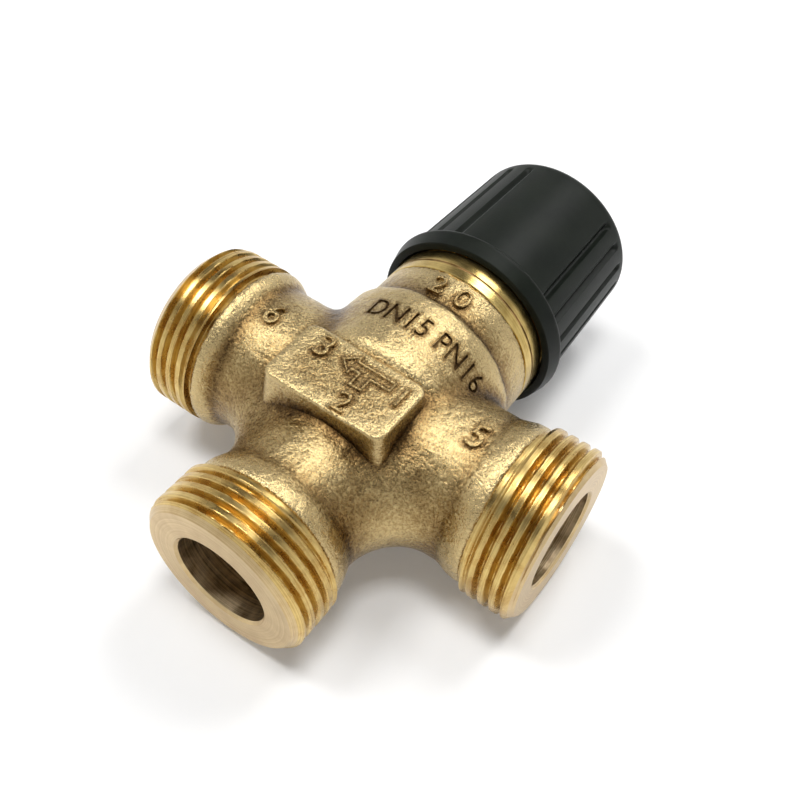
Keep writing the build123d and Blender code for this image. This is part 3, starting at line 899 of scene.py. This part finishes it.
def black_plastic():
    """Moulded black plastic with a fine matt texture."""
    material, tree, shader, place = new_material("black_plastic")
    shader.inputs["Specular IOR Level"].default_value = 0.14
    cloud = grain(tree, place, 6.0, 4)
    colour = ramp(tree, cloud, (0.3, (0.005, 0.007, 0.005)), (0.7, (0.010, 0.013, 0.009)))
    tree.links.new(colour, shader.inputs["Base Color"])
    tree.links.new(maths(tree, "MULTIPLY_ADD", cloud, 0.14, 0.33), shader.inputs["Roughness"])
    tree.links.new(bump(tree, grain(tree, place, 0.25, 2), 0.015), shader.inputs["Normal"])
    return material


knob = turned("knob_moulded", knob_outline, (0, 0, 1), 540)
plastic = black_plastic()
with_tree(knob, grip_tree(), First_Group=-20.5, Second_Group=-134.5, Third_Group=-257.5,
          Start=skirt_start, End=knob_end - 2.4 * MM, Skirt_Radius=end_radius - 0.01 * MM, Material=plastic)
knob.data.transform(along((0, 1, 0)))
knob.data.shade_smooth()
knob.data.set_sharp_from_angle(angle=math.radians(35))
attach(knob, "knob")
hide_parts("adjusting_knob")


# The inner pieces
# Seat ring, plug, stem, seals, gland and spring cup keep the shapes that they are made to.
# Only the plug's nut and the stem's foot can be glimpsed, down the port bores.
def plain_metal(name, low, high, roughness):
    """Turned or drawn metal with a fine brushed haze."""
    material, tree, shader, place = new_material(name)
    shader.inputs["Metallic"].default_value = 1
    shader.inputs["Roughness"].default_value = roughness
    haze = grain(tree, place, 1.5, 4)
    tree.links.new(ramp(tree, haze, (0.3, low), (0.7, high)), shader.inputs["Base Color"])
    tree.links.new(bump(tree, grain(tree, place, 0.2), 0.01), shader.inputs["Normal"])
    return material


def seal_rubber():
    """Black seal rubber, matt, with a trace of talc."""
    material, tree, shader, place = new_material("seal_rubber")
    shader.inputs["Roughness"].default_value = 0.62
    dust = grain(tree, place, 1.0, 5)
    colour = ramp(tree, dust, (0.4, (0.012, 0.012, 0.012)), (0.75, (0.05, 0.05, 0.05)))
    tree.links.new(colour, shader.inputs["Base Color"])
    tree.links.new(bump(tree, grain(tree, place, 0.3), 0.02), shader.inputs["Normal"])
    return material


inner_finishes = {
    "turned_brass": plain_metal("inner_brass", (0.55, 0.37, 0.13), (0.82, 0.60, 0.27), 0.3),
    "stainless_steel": plain_metal("stainless_steel", (0.42, 0.42, 0.43), (0.62, 0.62, 0.63), 0.28),
    "seal_rubber": seal_rubber(),
}
for subpart in frame["record"]["subparts"]:
    if subpart["material_slot"] in inner_finishes:
        node = frame["nodes"][subpart["node"]]
        node.data.materials.clear()
        node.data.materials.append(inner_finishes[subpart["material_slot"]])


# The return spring
# A coil of spring steel wire between the bonnet and the cup on the stem. It lifts the stem, and it shortens as
# the knob presses it; here it is wound once, at the length that it has in the parts.
spring_low, spring_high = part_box("return_spring")
wire_radius = 0.55 * MM
spring_turns = 4.6


def coil_tree():
    """Winds a round wire into a coil that stands on +Z."""
    tree = bpy.data.node_groups.new("coil", "GeometryNodeTree")
    sockets = tree.interface
    for label, value in (("Turns", 4.0), ("Coil Radius", 8 * MM), ("Wire Radius", wire_radius),
                         ("Foot", 0.0), ("Length", 10 * MM)):
        sockets.new_socket(label, in_out="INPUT", socket_type="NodeSocketFloat").default_value = value
    sockets.new_socket("Material", in_out="INPUT", socket_type="NodeSocketMaterial")
    sockets.new_socket("Geometry", in_out="OUTPUT", socket_type="NodeSocketGeometry")
    given = tree.nodes.new("NodeGroupInput").outputs
    path = tree.nodes.new("GeometryNodeCurveSpiral")
    path.inputs["Resolution"].default_value = 64
    tree.links.new(given["Turns"], path.inputs["Rotations"])
    for label in ("Start Radius", "End Radius"):
        tree.links.new(given["Coil Radius"], path.inputs[label])
    rise = maths(tree, "MULTIPLY_ADD", given["Wire Radius"], -2, given["Length"])
    tree.links.new(rise, path.inputs["Height"])
    wire = tree.nodes.new("GeometryNodeCurvePrimitiveCircle")
    wire.inputs["Resolution"].default_value = 16
    tree.links.new(given["Wire Radius"], wire.inputs["Radius"])
    coil = tree.nodes.new("GeometryNodeCurveToMesh")
    coil.inputs["Fill Caps"].default_value = True
    tree.links.new(path.outputs[0], coil.inputs["Curve"])
    tree.links.new(wire.outputs[0], coil.inputs["Profile Curve"])
    lift = tree.nodes.new("ShaderNodeCombineXYZ")
    tree.links.new(maths(tree, "ADD", given["Foot"], given["Wire Radius"]), lift.inputs[2])
    place = tree.nodes.new("GeometryNodeTransform")
    tree.links.new(coil.outputs[0], place.inputs["Geometry"])
    tree.links.new(lift.outputs[0], place.inputs["Translation"])
    finish(tree, place.outputs[0], given["Material"])
    return tree


spring = place_mesh("spring_coil", [], [])
with_tree(spring, coil_tree(), Turns=spring_turns, Coil_Radius=spring_high.x - wire_radius,
          Foot=spring_low.y, Length=spring_high.y - spring_low.y, Material=inner_finishes["stainless_steel"])
spring.data.transform(along((0, 1, 0)))
spring.data.shade_smooth()
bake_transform(spring)
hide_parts("return_spring")


# The table, the light and the camera
# The valve lies on its knob's rim, port B and port A, so the white table is the plane under those
# three. Soft boxes stand over it, and the camera looks down on it from the photograph's side.
contacts = (
    Vector((0, rim_top, -rim_radius)),
    Vector((0, -port_b_reach + lead_in, -crest_radius)),
    Vector((port_reach - lead_in, 0, -crest_radius)),
)
table_up = (contacts[1] - contacts[0]).cross(contacts[2] - contacts[0]).normalized()
table_up *= math.copysign(1, table_up.z)
flat_radius = 0.55
sweep_radius = 0.30
wall_height = 0.75
sweep = [(flat_radius + sweep_radius, wall_height)]
for step in range(16, -1, -1):
    angle = math.radians(90) * step / 16
    sweep.append((flat_radius + sweep_radius * math.sin(angle), sweep_radius * (1 - math.cos(angle))))
sweep.append((0, 0))
table = turned("table", sweep, table_up, 128)
table.data.transform(Matrix.Translation(table_up * (contacts[0].dot(table_up) - 0.03 * MM)))
table.data.shade_smooth()
paper = bpy.data.materials.new("white_table")
paper.use_nodes = True
nodes, links = paper.node_tree.nodes, paper.node_tree.links
surface = nodes["Principled BSDF"]
surface.inputs["Base Color"].default_value = (0.88, 0.88, 0.88, 1)
surface.inputs["Roughness"].default_value = 0.7
surface.inputs["Specular IOR Level"].default_value = 0.2
rays = nodes.new("ShaderNodeLightPath").outputs
seen = maths(paper.node_tree, "MAXIMUM", rays["Is Camera Ray"], rays["Is Glossy Ray"])
seen = maths(paper.node_tree, "MAXIMUM", seen, rays["Is Transmission Ray"])
surface.inputs["Emission Color"].default_value = (1, 1, 1, 1)
links.new(maths(paper.node_tree, "MULTIPLY", seen, 0.10), surface.inputs["Emission Strength"])
table.data.materials.append(paper)

world = bpy.data.worlds.new("studio")
bpy.context.scene.world = world
world.use_nodes = True
background = world.node_tree.nodes["Background"]
background.inputs["Color"].default_value = (1, 1, 1, 1)
background.inputs["Strength"].default_value = 0.05


def soft_box(name, place, size, power, aim=(0, 0.005, 0)):
    """A square area light aimed at the valve."""
    lamp = bpy.data.lights.new(name, "AREA")
    lamp.shape = "SQUARE"
    lamp.size = size
    lamp.energy = power
    holder = bpy.data.objects.new(name, lamp)
    facing = (Vector(aim) - Vector(place)).normalized()
    holder.matrix_world = Matrix.Translation(place) @ facing.to_track_quat("-Z", "Y").to_matrix().to_4x4()
    bpy.context.scene.collection.objects.link(holder)


soft_box("key", (-0.36, -0.08, 0.69), 0.24, 2.3)
soft_box("overhead", (0.03, -0.02, 0.80), 0.22, 2.3)
soft_box("back_box", (0.06, 0.47, 0.66), 0.30, 2.5)

camera_azimuth = math.radians(31.32)
camera_elevation = math.radians(51.02)
camera_roll = math.radians(5.55)
camera_distance = 152.92 * MM
camera_target = Vector((0.82, 6.25, 0)) * MM
lens_data = bpy.data.cameras.new("camera")
lens_data.sensor_width = 36
lens_data.lens = 45.96
lens_data.clip_start = 0.01
camera = bpy.data.objects.new("camera", lens_data)
bpy.context.scene.collection.objects.link(camera)
toward_camera = Vector((math.sin(camera_azimuth) * math.cos(camera_elevation),
                        -math.cos(camera_azimuth) * math.cos(camera_elevation), math.sin(camera_elevation)))
level_right = Vector((0, 0, 1)).cross(toward_camera).normalized()
level_up = toward_camera.cross(level_right)
right = level_right * math.cos(camera_roll) + level_up * math.sin(camera_roll)
up = level_up * math.cos(camera_roll) - level_right * math.sin(camera_roll)
axes = Matrix((right, up, toward_camera)).transposed().to_4x4()
camera.matrix_world = Matrix.Translation(camera_target + toward_camera * camera_distance) @ axes
bpy.context.scene.camera = camera
bpy.context.scene.view_settings.view_transform = "Standard"
